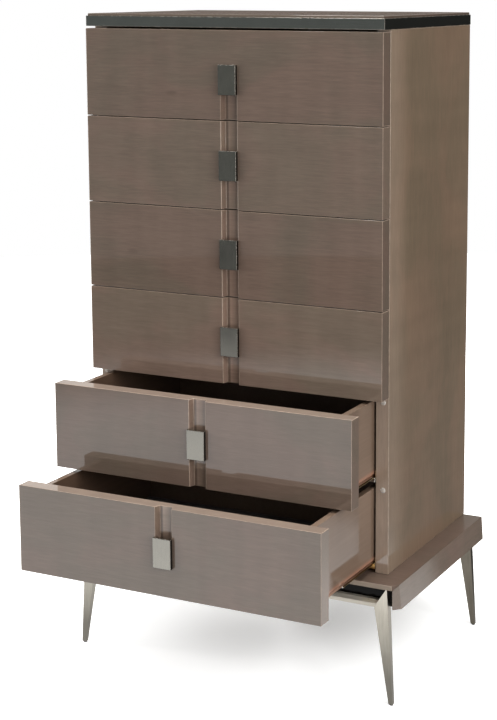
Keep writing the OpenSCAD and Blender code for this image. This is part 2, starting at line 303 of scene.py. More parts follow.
# Groove of a drawer front: half widths of its mouth and its floor, its depth, and a slack behind it
GROOVE_HALF = 21.5 * MM
GROOVE_FLOOR_HALF = 16.0 * MM
GROOVE_DEPTH = 14.0 * MM
GROOVE_SLACK = 0.2 * MM
# Depth below the face at which the groove's painted light and shade starts and is full
GROOVE_START = 1.0 * MM
GROOVE_FULL = 2.0 * MM
# The floor's painted light is brightest to the left of the middle, and fades over a distance to both sides
GROOVE_PEAK_PAINTED_LIGHT = 2.6
GROOVE_PEAK_LEFT = 8 * MM
GROOVE_PEAK_REACH = 24 * MM
# The left wall gets painted shade, with a painted highlight line on it, and a painted shadow strip and a red
# line beside it
WALL_BLUR = 0.2 * MM
WALL_PAINTED_SHADE = 0.85
WALL_RED = 0.08
LINE_OUT = 0.4 * MM
LINE_HALF = 0.5 * MM
LINE_PAINTED_HIGHLIGHT = 0.3
STRIP_END = 9 * MM
STRIP_FULL = 5 * MM
STRIP_PAINTED_SHADOW = 1.1
FOLD_IN = 1.3 * MM
FOLD_HALF = 0.9 * MM
FOLD_RED = 0.8
GROOVE_RED = linear(126, 98, 80)


def groove_painted_light(graph, tint, level, face_y):
    """Painted light and shade in a front's groove: painted light on its floor, painted shade and a painted
    highlight line at its left wall, and redder lines there.
    """
    across, depth, _ = graph.split(graph.place())
    corner_x = -GROOVE_FLOOR_HALF
    inside = graph.times(
        graph.step(depth, face_y + GROOVE_START, face_y + GROOVE_FULL),
        graph.less(depth, face_y + GROOVE_DEPTH + GROOVE_SLACK),
        graph.less(graph.size(across), GROOVE_HALF)
    )
    wall = graph.step(across, corner_x + WALL_BLUR, corner_x - WALL_BLUR)
    line = graph.around(across, corner_x - LINE_OUT, LINE_HALF)
    fold = graph.around(across, corner_x + FOLD_IN, FOLD_HALF)
    strip = graph.step(across, corner_x + STRIP_END, corner_x + STRIP_FULL)
    strip = graph.times(strip, graph.inverse(wall))
    beside = graph.size(graph.math("ADD", across, GROOVE_PEAK_LEFT))
    # Painted light on the floor, then painted shade on the wall and strip and a painted highlight line
    shade = graph.spread(beside, 0, GROOVE_PEAK_REACH, GROOVE_PEAK_PAINTED_LIGHT, 1.0)
    shade = graph.math("SUBTRACT", shade, graph.times(wall, WALL_PAINTED_SHADE))
    shade = graph.math("ADD", shade, graph.times(line, LINE_PAINTED_HIGHLIGHT))
    shade = graph.math("SUBTRACT", shade, graph.times(strip, STRIP_PAINTED_SHADOW))
    shade = graph.between(inside, 1.0, shade)
    red = graph.math("MAXIMUM", graph.times(fold, FOLD_RED), graph.times(wall, WALL_RED))
    return graph.mix(graph.times(inside, red), tint, GROOVE_RED), graph.times(level, shade)


def eye_shade(graph, level, place):
    """A small dark eye in the figure of the wood. place is its X and Z."""
    across, _, up = graph.split(graph.place())
    wide = graph.math("DIVIDE", graph.math("SUBTRACT", across, place[0]), EYE_HALF_WIDTH)
    high = graph.math("DIVIDE", graph.math("SUBTRACT", up, place[1]), EYE_HALF_HEIGHT)
    square = graph.math("ADD", graph.times(wide, wide), graph.times(high, high))
    outside = graph.step(graph.math("SQRT", square), *EYE_FADE)
    return graph.times(level, graph.between(outside, EYE_SHARE, 1.0))


def upright_shade(graph, tint, level):
    """A side panel gets a painted light and reflection, lighter and cooler, toward its front edge, and is a
    little lighter at the rear.
    """
    depth = graph.split(graph.place())[1]
    painted_front_light = graph.step(depth, SIDE_FRONT_Y + UPRIGHT_FRONT_END, SIDE_FRONT_Y + UPRIGHT_FRONT_FULL)
    near_rear = graph.step(depth, *UPRIGHT_REAR_Y)
    level = graph.times(level, graph.between(painted_front_light, 1.0, UPRIGHT_FRONT_PAINTED_LIGHT))
    level = graph.times(level, graph.between(near_rear, 1.0, UPRIGHT_REAR_SHARE))
    return graph.mix(graph.times(painted_front_light, UPRIGHT_FRONT_PAINTED_COOL), tint, VENEER_COOL), level


def skin(graph, value, surface, inward):
    """1 in a thin skin behind a surface, and 0 deeper inside."""
    return graph.step(value, surface + inward * SKIN_END, surface + inward * SKIN_FULL)


def veneer_noise(graph, offset, along, layer):
    """One layer of the figure, drawn out along the grain."""
    across_scale, along_scale, detail, roughness, distortion = layer
    scale = [across_scale, across_scale, across_scale]
    scale[along] = along_scale
    return graph.noise(offset, scale, detail, roughness, distortion)


def veneer(
    name, offset, along=0, upright=False, face_y=None, eyes=(), share=1.0, shine=1.0, grain=1.0,
    top_z=None, lip_y=None, lip_tint=LIPPING, end_x=None, painted_end_shade=1.0
):
    """Lacquered grey-brown veneer with fine grain along one axis.

    offset moves the figure, and grain scales its contrast. share scales the brightness, which on the
    fronts, the top and the base board is painted light and shade, and shine the gloss. face_y is the
    face that a front's groove, with its painted light and shade, is cut into, top_z the height of a top
    face painted paler as if lit from above, and lip_y the place of a paler front edge. end_x is how far
    the ends are from the middle, and the share after it the painted shade on the ends.
    """
    material, graph, shader = new_surface(name, roughness=0.45, coat_weight=shine, **LACQUER)
    pores = veneer_noise(graph, offset, along, PORES)
    clouds = veneer_noise(graph, offset, along, CLOUDS)
    warm, cool = (UPRIGHT_WARM, UPRIGHT_COOL) if upright else (VENEER_WARM, VENEER_COOL)
    tint = graph.mix(graph.step(clouds, *WARM_TO_COOL), warm, cool)
    level = graph.swing(pores, *PORE_RANGE, PORE_SWING * grain)
    for layer, amount in ((FINE_GRAIN, FINE_SWING), (STREAKS, STREAK_SWING), (RIPPLES, RIPPLE_SWING)):
        noise = veneer_noise(graph, offset, along, layer)
        level = graph.times(level, graph.swing(noise, *LAYER_RANGE, amount * grain))
    level = graph.times(level, graph.swing(clouds, *LAYER_RANGE, CLOUD_SWING))
    if upright:
        tint, level = upright_shade(graph, tint, level)
    across, depth, up = graph.split(graph.place())
    if lip_y is not None:
        tint = graph.mix(skin(graph, depth, lip_y, 1), tint, lip_tint)
    # A top face painted paler, as if lit from above
    if top_z is not None:
        tint = graph.mix(skin(graph, up, top_z, -1), tint, TOP_PAINTED_LIGHT)
    # Painted shade on the ends of a front
    if end_x is not None:
        end = skin(graph, graph.size(across), end_x, -1)
        level = graph.times(level, graph.between(end, 1.0, painted_end_shade))
    level = graph.times(level, share)
    if face_y is not None:
        tint, level = groove_painted_light(graph, tint, level, face_y)
    for place in eyes:
        level = eye_shade(graph, level, place)
    graph.feed(shader.inputs["Base Color"], graph.shade(tint, level))
    graph.feed(shader.inputs["Normal"], graph.bump(pores, PORE_BUMP * grain, PORE_HEIGHT))
    return material


def painted_edge_highlight(name, colour):
    """Painted highlight on rounded edges: a paler lacquer on the bevel faces, with random streaks."""
    material, graph, shader = new_surface(name, roughness=0.3, coat_weight=1.0, **LACQUER)
    highlight_noise = graph.noise(offset=(2.2, 0.7, 1.1), scale=(60, 60, 60), detail=3.0, roughness=0.6)
    highlight_level = graph.spread(highlight_noise, 0.3, 0.7, to_low=0.75, to_high=1.15)
    graph.feed(shader.inputs["Base Color"], graph.shade(colour, highlight_level))
    return material


# Wood and lining of the drawer boxes

BOX_DARK = linear(104, 85, 71)
BOX_LIGHT = linear(124, 104, 89)
# The inner faces of the boxes: painted shade
BOX_INSIDE_PAINTED_SHADE = linear(84, 66, 54)
REDDER_LOW_EDGE = linear(146, 107, 87)
LINING_DARK = linear(44, 34, 27)
LINING_LIGHT = linear(72, 57, 47)
CLOUD_RANGE = (0.3, 0.7)
CLOUD_AMOUNT = 0.1
LOW_EDGE_GRAIN = 0.3
INSIDE_GRAIN = 0.2
# Height over the lower edge of a box up to which its wood is redder and lighter, and where that has faded
# out
LOW_EDGE_FULL = 3 * MM
LOW_EDGE_END = 13 * MM
# Faces up to this far outside the edge of a drawer's bottom still count as inside
INSIDE_SLACK = 0.5 * MM


def box_wood(name, inner_x=None):
    """Stained and sealed solid wood of the drawer boxes and the back.

    With inner_x, the faces within that distance of the middle get painted shade, and the lower edges are
    redder and lighter.
    """
    material, graph, shader = new_surface(
        name, roughness=0.4, specular_ior_level=0.1, coat_weight=1.0, coat_roughness=0.06, coat_ior=1.7
    )
    grain = graph.noise(offset=(3.1, 0.4, 1.7), scale=(160, 5, 160), detail=3.0, roughness=0.6)
    cloud = graph.noise(offset=(0.7, 2.2, 4.1), scale=(7, 1.5, 7))
    colour = graph.mix(grain, BOX_DARK, BOX_LIGHT)
    colour = graph.shade(colour, graph.swing(cloud, *CLOUD_RANGE, CLOUD_AMOUNT))
    if inner_x is not None:
        across, _, up = graph.split(graph.place())
        above = graph.math("FLOORED_MODULO", graph.math("SUBTRACT", up, LOWEST_BOX_Z), DRAWER_PITCH)
        low_edge = graph.shade(REDDER_LOW_EDGE, graph.swing(grain, 0, 1, LOW_EDGE_GRAIN))
        colour = graph.mix(graph.step(above, LOW_EDGE_END, LOW_EDGE_FULL), colour, low_edge)
        # Painted shade on the inner faces of the drawer box
        inside = graph.shade(BOX_INSIDE_PAINTED_SHADE, graph.swing(grain, 0, 1, INSIDE_GRAIN))
        colour = graph.mix(graph.less(graph.size(across), inner_x), colour, inside)
    graph.feed(shader.inputs["Base Color"], colour)
    graph.feed(shader.inputs["Normal"], graph.bump(grain, strength=0.15, distance=0.2 * MM))
    return material


def lining(name):
    """Dark felt-like lining of the drawer bottoms."""
    material, graph, shader = new_surface(name, roughness=0.85, sheen_weight=0.2, sheen_roughness=0.5)
    fibre = graph.noise(offset=(0, 0, 0), scale=(900, 900, 900), detail=4.0, roughness=0.7)
    cloud = graph.noise(offset=(5, 1, 2), scale=(9, 9, 9))
    colour = graph.mix(fibre, LINING_DARK, LINING_LIGHT)
    colour = graph.shade(colour, graph.swing(cloud, *CLOUD_RANGE, CLOUD_AMOUNT))
    graph.feed(shader.inputs["Base Color"], colour)
    graph.feed(shader.inputs["Normal"], graph.bump(fibre, strength=0.4, distance=0.3 * MM))
    return material


# Black lacquer, metal and plastic

BLACK_DEEP = linear(12, 11, 10)
BLACK_DUSTY = linear(26, 23, 21)
DUST_FADE = (0.45, 0.8)
METAL_CLOUD_SCALE = (18, 18, 18)
# How much of the metal's pattern is brushing, and its ranges that set the tone and the gloss
BRUSH_SHARE = 0.6
METAL_TONES = (0.25, 0.75)
METAL_GLOSS = (0.3, 0.7)
FINE_BUMP = 0.05 * MM
# Height of the foot, where the painted shade on a leg is darkest
FOOT_Z = 0.055
# How squarely a face looks along X to count as an end that gets painted shade
END_FACING = (0.85, 0.97)
# How far a face must look right or up, toward the light, to escape painted shade
LIT_FACING = (0.1, 0.35)
SPECK_RANGE = (0.3, 0.7)
SPECK_AMOUNT = 0.05


def gloss_black(name):
    """High-gloss black lacquer, slightly wavy."""
    material, graph, shader = new_surface(
        name, roughness=0.25, specular_ior_level=0.0, coat_weight=0.45, coat_roughness=0.02, coat_ior=1.32
    )
    wave = graph.noise(offset=(1.3, 0.2, 0.8), scale=(55, 55, 90))
    dust = graph.noise(offset=(0, 0, 0), scale=(400, 400, 400))
    colour = graph.mix(graph.step(dust, *DUST_FADE), BLACK_DEEP, BLACK_DUSTY)
    graph.feed(shader.inputs["Base Color"], colour)
    graph.feed(shader.inputs["Coat Normal"], graph.bump(wave, strength=0.5, distance=2.0 * MM))
    return material


def metal(name, colour, dark, roughness, stretch, metallic=1.0, foot=1.0, painted_shade_aside=1.0, painted_shade_below=1.0):
    """Plated metal, brushed along the axis that has the lowest scale in stretch.

    Its last three arguments set painted shade: toward the floor, on faces that look along X, and on
    faces that look neither right nor up, away from the light.
    """
    material, graph, shader = new_surface(name, metallic=metallic)
    brush = graph.noise(offset=(0.3, 1.9, 0.6), scale=stretch, detail=3.0, roughness=0.65)
    cloud = graph.noise(offset=(4.3, 0.9, 2.6), scale=METAL_CLOUD_SCALE, detail=3.0, roughness=0.55)
    shade = graph.math("ADD", graph.times(brush, BRUSH_SHARE), graph.times(cloud, 1 - BRUSH_SHARE))
    tone = graph.mix(graph.step(shade, *METAL_TONES), dark, colour)
    # Painted shade: toward the floor, on faces that look along X, and on faces that look neither right nor
    # up
    if foot != 1.0:
        up = graph.split(graph.place())[2]
        tone = graph.shade(tone, graph.spread(up, FOOT_Z, LEG_TOP_Z, foot, 1.0))
    if painted_shade_aside != 1.0:
        aside = graph.step(graph.size(graph.facing()[0]), *END_FACING)
        tone = graph.shade(tone, graph.between(aside, 1.0, painted_shade_aside))
    if painted_shade_below != 1.0:
        right, _, up = graph.facing()
        lit = graph.step(graph.math("MAXIMUM", right, up), *LIT_FACING)
        tone = graph.shade(tone, graph.between(lit, painted_shade_below, 1.0))
    graph.feed(shader.inputs["Base Color"], tone)
    graph.feed(shader.inputs["Roughness"], graph.spread(shade, *METAL_GLOSS, *roughness))
    graph.feed(shader.inputs["Normal"], graph.bump(brush, strength=0.08, distance=FINE_BUMP))
    return material


def plastic(name, colour, roughness, transmission=0.0):
    """Moulded plastic with fine specks."""
    material, graph, shader = new_surface(name, roughness=roughness, transmission_weight=transmission)
    speck = graph.noise(offset=(0, 0, 0), scale=(700, 700, 700))
    colour = graph.shade(colour, graph.swing(speck, *SPECK_RANGE, SPECK_AMOUNT))
    graph.feed(shader.inputs["Base Color"], colour)
    graph.feed(shader.inputs["Normal"], graph.bump(speck, strength=0.1, distance=FINE_BUMP))
    return material


# Materials that several parts share

# Handle plates: nickel with painted shade on the faces that look along X
nickel = metal(
    "nickel_plate", colour=linear(163, 160, 152), dark=linear(149, 147, 140),
    roughness=(0.16, 0.26), stretch=(700, 700, 40), painted_shade_aside=0.1
)
# Their rounded edges: a lighter painted highlight, with painted shade where they look neither right nor up
nickel_edge_highlight = metal(
    "nickel_edge_highlight", colour=linear(180, 174, 166), dark=linear(158, 152, 144),
    roughness=(0.2, 0.34), stretch=(90, 90, 90), painted_shade_below=0.16
)
band_nickel = metal(
    "band_nickel", colour=linear(166, 168, 164), dark=linear(152, 154, 150),
    roughness=(0.12, 0.2), stretch=(30, 30, 900)
)
# The band's rounded edges: a lighter painted highlight
band_edge_highlight = metal(
    "band_edge_highlight", colour=linear(176, 170, 162), dark=linear(150, 145, 138),
    roughness=(0.2, 0.34), stretch=(90, 90, 90)
)
# Leg plating with painted shade toward the floor
leg_nickel = metal(
    "leg_nickel", colour=linear(218, 212, 199), dark=linear(192, 186, 173),
    roughness=(0.26, 0.38), stretch=(260, 260, 18), foot=0.33
)
# A darker copy of the leg plating for the rear legs: painted shade, also toward the floor
rear_leg_shaded_nickel = metal(
    "rear_leg_shaded_nickel", colour=linear(140, 133, 121), dark=linear(117, 111, 100),
    roughness=(0.26, 0.38), stretch=(260, 260, 18), foot=0.8
)
rail_nickel = metal(
    "rail_nickel", colour=linear(214, 207, 194), dark=linear(190, 183, 170),
    roughness=(0.26, 0.38), stretch=(18, 260, 260), metallic=0.5
)
zinc = metal(
    "yellow_zinc", colour=linear(200, 182, 146), dark=linear(172, 152, 116),
    roughness=(0.3, 0.5), stretch=(120, 14, 120)
)
copper_zinc = metal(
    "copper_zinc", colour=linear(202, 162, 138), dark=linear(170, 132, 110),
    roughness=(0.3, 0.45), stretch=(120, 14, 120)
)
pale_zinc = metal(
    "pale_zinc", colour=linear(238, 234, 226), dark=linear(214, 210, 202),
    roughness=(0.22, 0.36), stretch=(90, 90, 90)
)
# Caps of the lowest runners: the same zinc with a warm painted reflection
zinc_painted_warm_glint = metal(
    "zinc_painted_warm_glint", colour=linear(246, 206, 140), dark=linear(226, 176, 106),
    roughness=(0.22, 0.36), stretch=(90, 90, 90)
)
# Painted highlights on the rounded edges of the fronts and side panels
front_edge_highlight = painted_edge_highlight("front_edge_painted_highlight", VENEER_EDGE_HIGHLIGHT)
upright_edge_highlight = painted_edge_highlight("upright_edge_painted_highlight", UPRIGHT_EDGE_HIGHLIGHT)
side_wood = box_wood("drawer_side_wood", inner_x=BOX_INNER_X + INSIDE_SLACK)
back_wood = box_wood("drawer_back_wood")
felt = lining("drawer_lining")
black_lacquer = gloss_black("black_lacquer")
clear_plastic = plastic("clear_pad", linear(244, 240, 234), roughness=0.1, transmission=0.6)
black_plastic = plastic("glide_plastic", linear(34, 33, 32), roughness=0.5)
white_plastic = plastic("clip_plastic", linear(214, 212, 205), roughness=0.4)


# Rounded edges and materials on the CAD nodes

def dress(node_name, material, edge=0.0, segments=2, edge_material=None):
    """Gives a CAD node its material and, with modifiers, rounded edges."""
    node = nodes[node_name]
    node.data.materials.clear()
    node.data.materials.append(material)
    if edge_material:
        node.data.materials.append(edge_material)
    if edge:
        weld = node.modifiers.new("join_edges", "WELD")
        weld.merge_threshold = WELD_GAP
        bevel = node.modifiers.new("round_edges", "BEVEL")
        bevel.width = edge
        bevel.segments = segments
        bevel.limit_method = "ANGLE"
        bevel.angle_limit = ROUNDED_ANGLE
        bevel.harden_normals = True
        bevel.use_clamp_overlap = True
        bevel.material = 1 if edge_material else -1


for i in DRAWERS:
    front_low, front_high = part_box(f"drawer_{i}_front")
    offset = tuple(part * i for part in FRONT_OFFSET)
    # Each front's share is painted light and shade, and its ends get painted shade
    face = veneer(
        f"front_veneer_{i}", offset, face_y=front_low.y, eyes=FRONT_EYES.get(i, ()),
        share=FRONT_PAINTED_LIGHT[i], top_z=front_high.z, end_x=front_high.x, painted_end_shade=END_PAINTED_SHADE[i]
    )
    dress(f"drawer_{i}_front", face, FRONT_EDGE, segments=3, edge_material=front_edge_highlight)
    dress(f"drawer_{i}_sides", side_wood, BOX_EDGE)
    dress(f"drawer_{i}_back", back_wood, BOX_EDGE)
    dress(f"drawer_{i}_bottom", felt)
    dress(f"drawer_{i}_slides", copper_zinc, SHEET_EDGE, segments=1)
    dress(f"drawer_{i}_middle_slides", zinc, SHEET_EDGE, segments=1)

for side, offset in SIDE_OFFSETS.items():
    upright = veneer(f"side_veneer_{side}", offset, along=2, upright=True, lip_y=SIDE_FRONT_Y)
    dress(f"side_panel_{side}", upright, WOOD_EDGE, segments=3, edge_material=upright_edge_highlight)
    base_face = veneer(f"base_side_veneer_{side}", offset, along=1, share=1.03)
    dress(f"base_side_{side}", base_face, WOOD_EDGE, segments=3)

# The top's share of 0.5 is painted shade
top_face = veneer(
    "top_veneer", offset=(4.4, 9.3, 1.2), share=0.5, shine=0.5, grain=0.2,
    lip_y=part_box("top_panel")[0].y, lip_tint=linear(140, 124, 110)
)
# The base board's share is painted shade, the shade under the drawers
board_face = veneer(
    "base_veneer", offset=(6.6, 2.8, 3.7), share=0.78, shine=0.15,
    lip_y=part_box("base_board")[0].y, lip_tint=linear(178, 160, 144)
)
dress("top_panel", top_face, WOOD_EDGE, segments=3)
dress("base_board", board_face, WOOD_EDGE, segments=3)
dress("top_band", band_nickel, METAL_EDGE, edge_material=band_edge_highlight)
dress("back_panel", back_wood, SHEET_EDGE)
dress("cabinet_slides", zinc, SHEET_EDGE, segments=1)
dress("base_front_apron", black_lacquer, METAL_EDGE)
dress("base_rear_apron", black_lacquer, METAL_EDGE)
dress("leg_rails", rail_nickel, METAL_EDGE)
dress("leg_glides", black_plastic, SHEET_EDGE)


# New pieces in place of the handles, pads and legs, and small fittings

def in_metres(points):
    """Pairs of millimetres as pairs of metres."""
    return [(first * MM, second * MM) for first, second in points]


# Heights of the handle's two standoffs over its middle, or under it on the lowest drawer
STANDOFF_PLACES = (22 * MM, 6 * MM)
# Radius and depth behind the drawer's face
STANDOFF_PROFILE = in_metres(((3.6, 0.1), (4, 0.5), (4, 13.6), (3.6, 14)))
HANDLE_SCREW_PROFILE = in_metres((
    (1.6, 14.1), (2, 14.5), (2, 35.98), (4.3, 36), (4.5, 36.3), (4.5, 37.6), (4.1, 38.2), (2.1, 38.5),
    (1.7, 37.3)
))
# Bumper pads: distance from the side's outer face, and down from the front's upper edge
PAD_IN = 14 * MM
PAD_DOWN = 9 * MM
# Dome of a pad: the angle at which it ends in a flat tip, the power that flattens it, and its rings
DOME_END = math.radians(84)
DOME_POWER = 0.8
DOME_RINGS = 6
# Outlines in X and Z, from the drawer side's outer face and its lower edge
RUNNER_CAP = in_metres(((-25, -18.5), (4.5, -18.5), (4.5, -7.5), (-2.5, -7.5), (-2.5, -14.5), (-25, -14.5)))
RUNNER_TIP = in_metres(((-20.3, -13.3), (-3.7, -13.3), (-3.7, -2.2), (-20.3, -2.2)))
# Gaps between these and what is behind them, and the thickness of a tip
CAP_GAP = 0.2 * MM
TIP_GAP = 0.05 * MM
TIP_THICK = 2.1 * MM
# Screws of the back panel: distance from its edge, rows on each side, place of those between, and head
SCREW_IN = 14 * MM
SCREW_ROWS = 6
SCREW_BETWEEN = 0.33
SCREW_HEAD = in_metres(((4.0, 0.0), (3.9, 0.6), (3.2, 1.3), (1.7, 1.6), (1.3, 1.3), (0.9, 0.5)))
# Weight that lets the larger faces set the shading of the smaller ones
FACE_WEIGHT = 100


def put_in_order(parts, place):
    """Sorts a mesh's points or faces by place, because the bevel tool leaves them in no fixed order."""
    numbers = {part: number for number, part in enumerate(sorted(parts, key=place))}
    parts.sort(key=numbers.get)


def add_piece(name, build, material, body, edge_material=None):
    """A new piece made by build(shape) that rides on a body."""
    mesh = bpy.data.meshes.new(name)
    shape = bmesh.new()
    build(shape)
    bmesh.ops.recalc_face_normals(shape, faces=shape.faces)
    put_in_order(shape.verts, lambda vert: tuple(vert.co))
    put_in_order(shape.faces, lambda face: tuple(face.calc_center_median()))
    shape.to_mesh(mesh)
    shape.free()
    for face in mesh.polygons:
        face.use_smooth = True
    mesh.set_sharp_from_angle(angle=CRISP_ANGLE)
    mesh.materials.append(material)
    if edge_material:
        mesh.materials.append(edge_material)
    piece = bpy.data.objects.new(name, mesh)
    bpy.context.scene.collection.objects.link(piece)
    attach(piece, body)
    return piece


def keep_flat(piece):
    """Keeps the flat faces flat between rounded edges."""
    flat = piece.modifiers.new("flat_faces", "WEIGHTED_NORMAL")
    flat.keep_sharp = True
    flat.weight = FACE_WEIGHT


def turned(shape, centre, facing, profile, sides=24):
    """A turned solid about the Y axis. profile is (radius, height) from its seat to its tip."""
    rings = []
    for radius, height in profile:
        ring = []
        for k in range(sides):
            angle = 2 * math.pi * k / sides
            place = centre + Vector((radius * math.cos(angle), facing * height, radius * math.sin(angle)))
            ring.append(shape.verts.new(place))
        rings.append(ring)
    shape.faces.new(rings[0])
    shape.faces.new(rings[-1])
    for lower, upper in zip(rings, rings[1:]):
        for k in range(sides):
            shape.faces.new((lower[k - 1], lower[k], upper[k], upper[k - 1]))


def plate(shape, outline, front, rear, rounding, edge_slot=0):
    """A flat plate with rounded edges. outline is in X and Z, and front and rear are in Y."""
    fore = [shape.verts.new((x, front, z)) for x, z in outline]
    aft = [shape.verts.new((x, rear, z)) for x, z in outline]
    faces = [shape.faces.new(fore), shape.faces.new(aft)]
    for k in range(len(outline)):
        faces.append(shape.faces.new((fore[k - 1], fore[k], aft[k], aft[k - 1])))
    edges = list(dict.fromkeys(edge for face in faces for edge in face.edges))
    rounded = bmesh.ops.bevel(shape, geom=edges, offset=rounding, segments=3, profile=0.5, affect="EDGES")
    for face in rounded["faces"]:
        face.material_index = edge_slot


def dome_profile(radius, height):
    """A flattened dome, from its rim to a small flat tip."""
    angles = [DOME_END * k / DOME_RINGS for k in range(DOME_RINGS + 1)]
    return [(radius * math.cos(a), height * math.sin(a) ** DOME_POWER) for a in angles]


def build_handle(i):
    """Plate, standoffs and screws of drawer i's handle."""
    def build(shape):
        low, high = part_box(f"drawer_{i}_handle")
        face_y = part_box(f"drawer_{i}_front")[0].y
        outline = [(low.x, low.z), (high.x, low.z), (high.x, high.z), (low.x, high.z)]
        plate(shape, outline, low.y, face_y, HANDLE_EDGE, edge_slot=1)
        upward = -1 if i == DRAWERS[-1] else 1
        for distance in STANDOFF_PLACES:
            seat = Vector((0, face_y, (low.z + high.z) / 2 + upward * distance))
            turned(shape, seat, 1, STANDOFF_PROFILE, sides=20)
            turned(shape, seat, 1, HANDLE_SCREW_PROFILE, sides=20)
    return build


def build_leg(node_name):
    """A leg's own solid with its long corners well rounded and its ends left flat."""
    def build(shape):
        shape.from_mesh(nodes[node_name].data)
        bmesh.ops.remove_doubles(shape, verts=shape.verts, dist=WELD_GAP)
        bmesh.ops.dissolve_limit(shape, angle_limit=FLAT_ANGLE, verts=shape.verts, edges=shape.edges)
        corners = [
            edge for edge in shape.edges
            if edge.calc_length() > LEG_LONG_EDGE and edge.calc_face_angle(0) > ROUNDED_ANGLE
        ]
        bmesh.ops.bevel(
            shape, geom=corners, offset=LEG_EDGE, segments=5, profile=0.5, affect="EDGES", clamp_overlap=True
        )
        for face in shape.faces:
            face.material_index = 0
    return build


def build_pads(shape):
    """Domed pads on the front edges of the side panels, two for each drawer."""
    low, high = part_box("bumper_pads")
    across = SIDE_OUTER_X - PAD_IN
    profile = dome_profile(high.x - across, high.y - low.y)
    for i in DRAWERS:
        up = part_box(f"drawer_{i}_front")[1].z - PAD_DOWN
        for side in BOTH_SIDES:
            turned(shape, Vector((side * across, high.y, up)), -1, profile)


def add_runner_plates(shape, i, outline, front, rear, rounding):
    """The same plate at both sides of drawer i. outline is measured from the drawer's side."""
    box_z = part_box(f"drawer_{i}_sides")[0].z
    for side in BOTH_SIDES:
        placed = [(side * (BOX_OUTER_X + x), box_z + z) for x, z in outline]
        plate(shape, placed, front, rear, rounding)


def build_runner_caps(drawers):
    """The pressed front ends of the fixed runners."""
    def build(shape):
        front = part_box("bumper_pads")[0].y
        for i in drawers:
            add_runner_plates(shape, i, RUNNER_CAP, front, SIDE_FRONT_Y - CAP_GAP, CAP_EDGE)
    return build


def build_runner_tips(i):
    """White plastic tips on the front ends of drawer i's middle runner members."""
    def build(shape):
        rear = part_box(f"drawer_{i}_middle_slides")[0].y - TIP_GAP
        add_runner_plates(shape, i, RUNNER_TIP, rear - TIP_THICK, rear, TIP_EDGE)
    return build


def build_back_screws(shape):
    """Screw heads along both sides of the back panel, and two more at its top and at its bottom."""
    low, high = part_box("back_panel")
    span = high.z - low.z - 2 * SCREW_IN
    rows = [low.z + SCREW_IN + span * k / (SCREW_ROWS - 1) for k in range(SCREW_ROWS)]
    places = [(side * (high.x - SCREW_IN), z) for side in BOTH_SIDES for z in rows]
    places += [(side * SCREW_BETWEEN * high.x, z) for side in BOTH_SIDES for z in (rows[0], rows[-1])]
    for x, z in places:
        turned(shape, Vector((x, high.y, z)), 1, SCREW_HEAD, sides=16)


for side in ("left", "right"):
    for end, plating in (("front", leg_nickel), ("rear", rear_leg_shaded_nickel)):
        name = f"leg_{end}_{side}"
        leg = add_piece(f"{name}_rounded", build_leg(name), plating, "carcass")
        keep_flat(leg)
        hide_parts(name)
pads = add_piece("bumper_domes", build_pads, clear_plastic, "carcass")
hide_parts("bumper_pads")
add_piece("runner_front_caps", build_runner_caps(DRAWERS[:-1]), pale_zinc, "carcass")
# The lowest caps carry a warm painted reflection
add_piece("lowest_runner_caps", build_runner_caps(DRAWERS[-1:]), zinc_painted_warm_glint, "carcass")
add_piece("back_panel_screws", build_back_screws, zinc, "carcass")
for i in DRAWERS:
    handle = add_piece(
        f"drawer_{i}_handle_plate", build_handle(i), nickel, f"drawer_{i}", nickel_edge_highlight
    )
    keep_flat(handle)
    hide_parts(f"drawer_{i}_handle")
    tips_body = f"drawer_{i}_middle_slides"
    add_piece(f"drawer_{i}_runner_tips", build_runner_tips(i), white_plastic, tips_body)


# Stage: floor

FLOOR_RADIUS = 6.0
FLOOR_SIDES = 96
# Albedo for diffuse rays, for the camera, and in the dark parts of mirror-like rays
FLOOR_ALBEDO = 0.22
FLOOR_SEEN_ALBEDO = 1.0
FLOOR_DARK_ALBEDO = 0.06
# Glow that the camera sees: round the chest and far from it, and the distances between the two
FLOOR_GLOW_ROUND = 0.56
FLOOR_GLOW_FAR = 1.0
FLOOR_FAR = (0.7, 1.5)
# Painted shadows: middle and half size in X and Y, and the glow in the middle
FLOOR_PAINTED_SHADOWS = ((-0.08, 0.1, 0.32, 0.4, 0.22), (0.1, 0.36, 0.3, 0.52, 0.0))
SHADOW_FADE = (0.07, 1.0)
# Glow in mirror-like rays, and the distances from the chest over which it fades out
FLOOR_GLOW_SHINE = 0.82
SHINE_FADE = (3.7, 2.6)
# The dim corner of the shine: it sets in over these X, and deepens over these Y from a share to full
CORNER_RIGHT = (0.2, 0.5)
CORNER_REAR = (0.3, 0.9)
CORNER_NEAR_DIM = 0.35
# The brighter patch beside the right side: its slanted left limit, its rear limit and its strength
PATCH_SLANT = 0.45
PATCH_SIDE = (0.36, 0.44)
PATCH_REAR = (1.15, 0.85)
PATCH_SHARE = 0.45


def floor_glow(graph, reach):
    """The floor's glow for the camera, lower in painted shadows where the chest's shadow falls."""
    glows = []
    for middle_x, middle_y, half_x, half_y, core in FLOOR_PAINTED_SHADOWS:
        offset = (-middle_x / half_x, -middle_y / half_y, 0)
        span = graph.length(graph.place(offset, scale=(1 / half_x, 1 / half_y, 1)))
        glows.append(graph.between(graph.step(span, *SHADOW_FADE), core, FLOOR_GLOW_ROUND))
    glow = graph.math("MINIMUM", *glows)
    return graph.between(graph.step(reach, *FLOOR_FAR), glow, FLOOR_GLOW_FAR)


